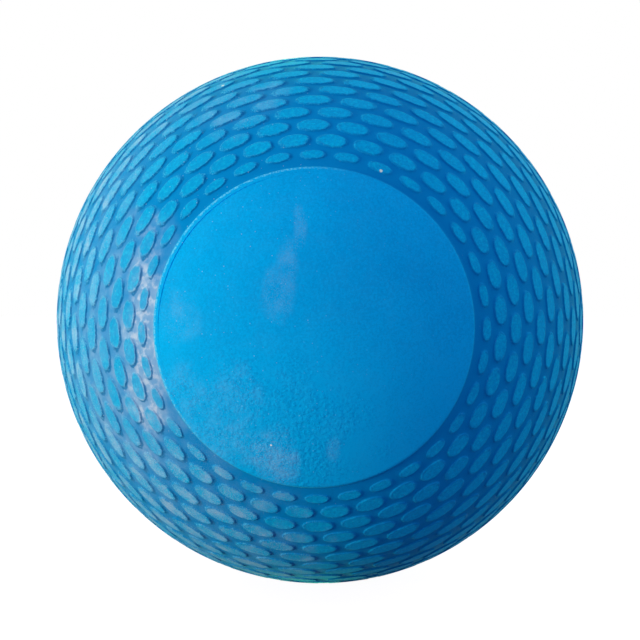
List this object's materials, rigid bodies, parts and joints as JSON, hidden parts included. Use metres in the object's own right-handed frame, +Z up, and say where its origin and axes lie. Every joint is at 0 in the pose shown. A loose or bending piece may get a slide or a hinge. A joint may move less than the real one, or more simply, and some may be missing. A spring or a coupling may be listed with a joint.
{
  "type": "inflatable rubber ball",
  "caption": "Inflatable moulded rubber play ball, blue, with raised oval pebbles for grip, smooth round panels at its poles and a needle valve with a removable core.",
  "frame": {"origin": "centre of the ball", "axes": "+Y through the needle valve in the middle of the rear panel, -Y through the front panel, +Z up"},
  "size_m": [0.2158, 0.2159, 0.2158],
  "materials": {
    "cover_rubber": "satin moulded rubber with a faint powdery bloom",
    "winding_thread": "wound nylon thread set in latex",
    "bladder_rubber": "smooth black butyl rubber",
    "boot_rubber": "matt black rubber",
    "core_rubber": "satin black rubber"
  },
  "bodies": {
    "ball": {"front_cover": "cover_rubber", "rear_cover": "cover_rubber", "winding": "winding_thread", "bladder": "bladder_rubber", "valve_patch": "bladder_rubber", "valve_boot": "boot_rubber"},
    "core": {"valve_core": "core_rubber"}
  },
  "joints": [
    {"name": "core_pull", "type": "slide", "parent": "ball", "child": "core", "axis": [0, 1, 0], "range_m": [0, 0.022]}
  ]
}
